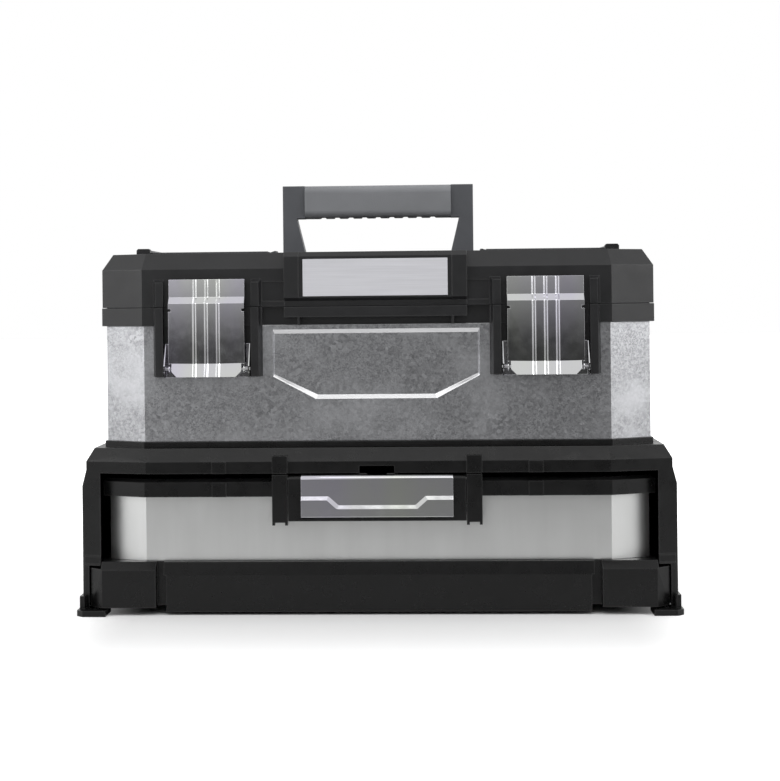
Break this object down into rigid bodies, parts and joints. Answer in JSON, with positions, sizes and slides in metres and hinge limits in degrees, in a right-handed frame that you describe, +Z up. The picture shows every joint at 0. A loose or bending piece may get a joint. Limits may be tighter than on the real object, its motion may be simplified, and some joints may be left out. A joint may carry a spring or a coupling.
{
  "type": "tool box with drawer",
  "caption": "Tool box of galvanised sheet and moulded plastic with a hinged lid, folding handle, pressed latches, lift-out tray and a sliding bottom drawer.",
  "frame": {"origin": "on the floor, under the middle of the whole part", "axes": "+X along the width, to the right as seen from the front; -Y towards the front; +Z up"},
  "size_m": [0.5456, 0.28, 0.3946],
  "materials": {
    "cabinet_plastic": "fine moulded grain, black",
    "lid_plastic": "fine moulded grain, charcoal",
    "handle_plastic": "moulded, dark grey",
    "cover_plastic": "moulded, dark grey",
    "tray_plastic": "moulded, black",
    "grip_rubber": "soft overmould, mid grey",
    "galvanised": "hot-dip galvanised with spangle",
    "drawer_zinc": "smooth galvanised sheet",
    "latch_zinc": "bright zinc plate",
    "plate_aluminium": "satin sheet",
    "pin_steel": "plain steel"
  },
  "bodies": {
    "case": {"cabinet_shell": "cabinet_plastic", "body_base": "cabinet_plastic", "base_screws": "pin_steel", "body_band": "galvanised", "body_collar": "lid_plastic", "hinge_pins": "pin_steel", "tote_tray": "tray_plastic", "latch_rivets": "pin_steel", "latch_bracket_left": "latch_zinc", "latch_bracket_right": "latch_zinc", "latch_pin_left": "pin_steel", "latch_pin_right": "pin_steel"},
    "lid": {"lid_shell": "lid_plastic", "lid_plate": "plate_aluminium", "handle_pins": "pin_steel", "cover_pins": "pin_steel"},
    "handle": {"handle_frame": "handle_plastic", "handle_grip": "grip_rubber"},
    "latch_left": {"latch_plate_left": "latch_zinc"},
    "latch_right": {"latch_plate_right": "latch_zinc"},
    "cover_left": {"organiser_cover_left": "cover_plastic"},
    "cover_right": {"organiser_cover_right": "cover_plastic"},
    "drawer": {"drawer_base": "cabinet_plastic", "drawer_band": "drawer_zinc", "drawer_rim": "cabinet_plastic", "paddle_pin": "pin_steel"},
    "paddle": {"drawer_paddle": "cabinet_plastic", "paddle_label": "latch_zinc"}
  },
  "joints": [
    {"name": "lid_hinge", "type": "hinge", "parent": "case", "child": "lid", "pos_m": [0, 0.129, 0.273], "axis": [-1, 0, 0], "range_deg": [0, 105]},
    {"name": "handle_fold", "type": "hinge", "parent": "lid", "child": "handle", "pos_m": [0, 0, 0.312], "axis": [-1, 0, 0], "range_deg": [0, 90]},
    {"name": "latch_left_swing", "type": "hinge", "parent": "case", "child": "latch_left", "pos_m": [-0.1527, -0.1314, 0.2227], "axis": [1, 0, 0], "range_deg": [0, 90]},
    {"name": "latch_right_swing", "type": "hinge", "parent": "case", "child": "latch_right", "pos_m": [0.1527, -0.1314, 0.2227], "axis": [1, 0, 0], "range_deg": [0, 90]},
    {"name": "cover_left_flip", "type": "hinge", "parent": "lid", "child": "cover_left", "pos_m": [-0.2184, 0, 0.3306], "axis": [0, -1, 0], "range_deg": [0, 110]},
    {"name": "cover_right_flip", "type": "hinge", "parent": "lid", "child": "cover_right", "pos_m": [0.2184, 0, 0.3306], "axis": [0, 1, 0], "range_deg": [0, 110]},
    {"name": "drawer_slide", "type": "slide", "parent": "case", "child": "drawer", "axis": [0, -1, 0], "range_m": [0, 0.2]},
    {"name": "paddle_pull", "type": "hinge", "parent": "drawer", "child": "paddle", "pos_m": [0, -0.134, 0.1228], "axis": [-1, 0, 0], "range_deg": [0, 25], "stiffness_Nm_per_rad": 0.2}
  ]
}
